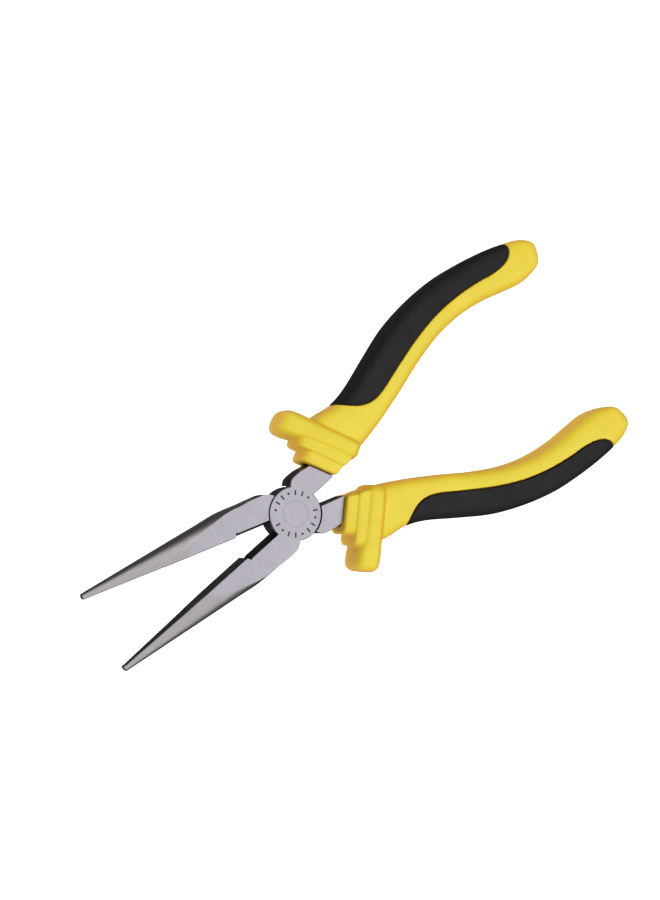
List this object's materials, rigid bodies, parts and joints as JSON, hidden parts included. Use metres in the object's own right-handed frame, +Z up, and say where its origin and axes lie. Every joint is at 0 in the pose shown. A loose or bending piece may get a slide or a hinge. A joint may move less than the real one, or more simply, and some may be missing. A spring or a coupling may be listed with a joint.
{
  "type": "needle nose pliers",
  "caption": "Long tapered needle nose pliers with a side cutter behind serrated jaws, a lap joint, and curved soft grips with flared thumb guards.",
  "frame": {"origin": "centre of the footprint, on the surface the pliers lie on", "axes": "+Z up, square to the flat joint faces; +Y towards the jaw tips along the line midway between the levers; +X to the side of the front lever's handle"},
  "size_m": [0.0862, 0.201, 0.0172],
  "materials": {
    "ground_steel": "satin ground faces, darker forged sides",
    "rivet_steel": "ground flush",
    "yellow_grip": "semi-gloss moulded",
    "black_cushion": "matte soft moulded"
  },
  "bodies": {
    "front_half": {"front_lever": "ground_steel", "pivot_rivet": "rivet_steel", "front_grip": "yellow_grip", "front_cushion": "black_cushion"},
    "back_half": {"back_lever": "ground_steel", "back_grip": "yellow_grip", "back_cushion": "black_cushion"}
  },
  "joints": [
    {"name": "jaw_pivot", "type": "hinge", "parent": "front_half", "child": "back_half", "pos_m": [0, 0.02533, 0.0086], "axis": [0, 0, -1], "range_deg": [-19, 26]}
  ]
}
